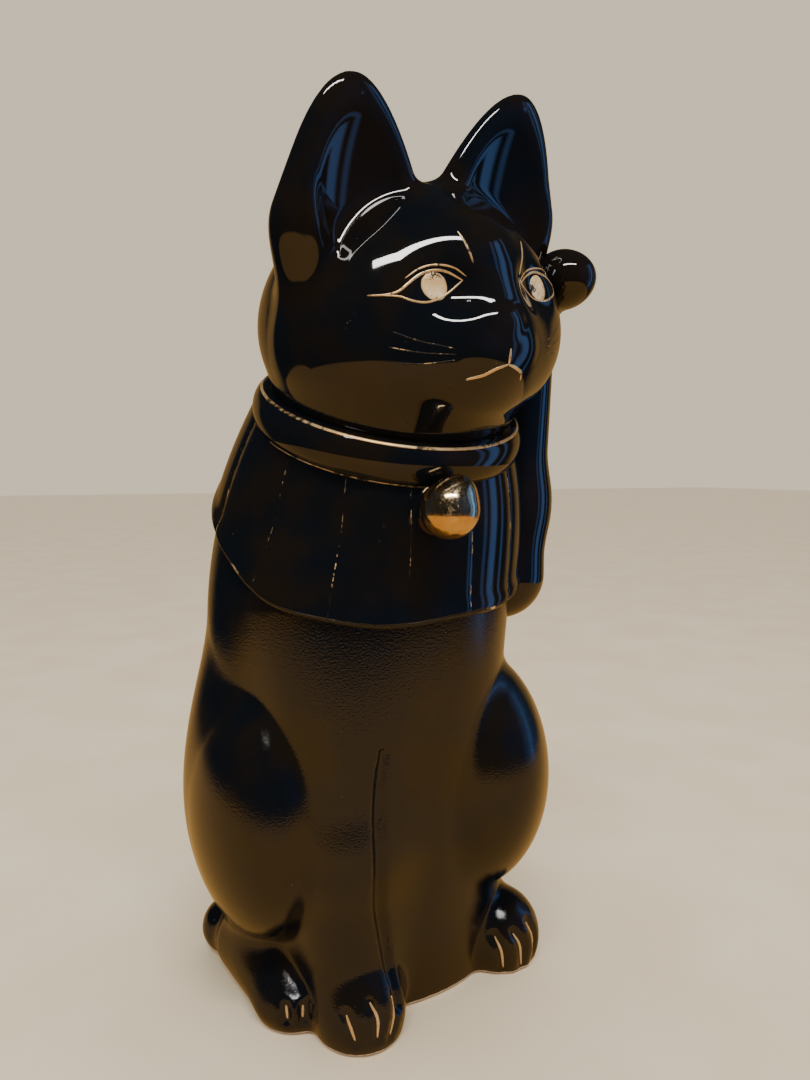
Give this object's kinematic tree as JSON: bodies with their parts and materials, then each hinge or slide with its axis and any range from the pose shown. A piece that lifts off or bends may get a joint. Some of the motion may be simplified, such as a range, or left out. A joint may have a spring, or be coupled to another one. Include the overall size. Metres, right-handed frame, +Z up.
{
  "type": "ceramic cat figurine",
  "caption": "Slim seated beckoning cat in black glazed ceramic with one raised forepaw, padded collar, pleated bib and gilt bell.",
  "frame": {"origin": "bottom centre of the bounding box, on the plane that the figure stands on", "axes": "+Z up; the cat's chest faces -Y; the cat's left side, with the raised paw, is +X"},
  "size_m": [0.1358, 0.1284, 0.2989],
  "materials": {
    "black_glaze": "deep high-gloss black glaze over cast clay",
    "collar_glaze": "high-gloss black glaze with thin worn gilt edge lines",
    "bib_glaze": "high-gloss black glaze with gilt pleat lines rubbed thin",
    "gilt": "bright overglaze gold, lightly rubbed",
    "bare_clay": "unglazed pale clay along the foot rim"
  },
  "bodies": {
    "root": {"body_casting": "black_glaze", "head_casting": "black_glaze", "right_ear": "black_glaze", "left_ear": "black_glaze", "raised_left_arm": "black_glaze", "collar": "collar_glaze", "collar_bow": "collar_glaze", "bib": "bib_glaze", "bell": "gilt"}
  },
  "joints": []
}
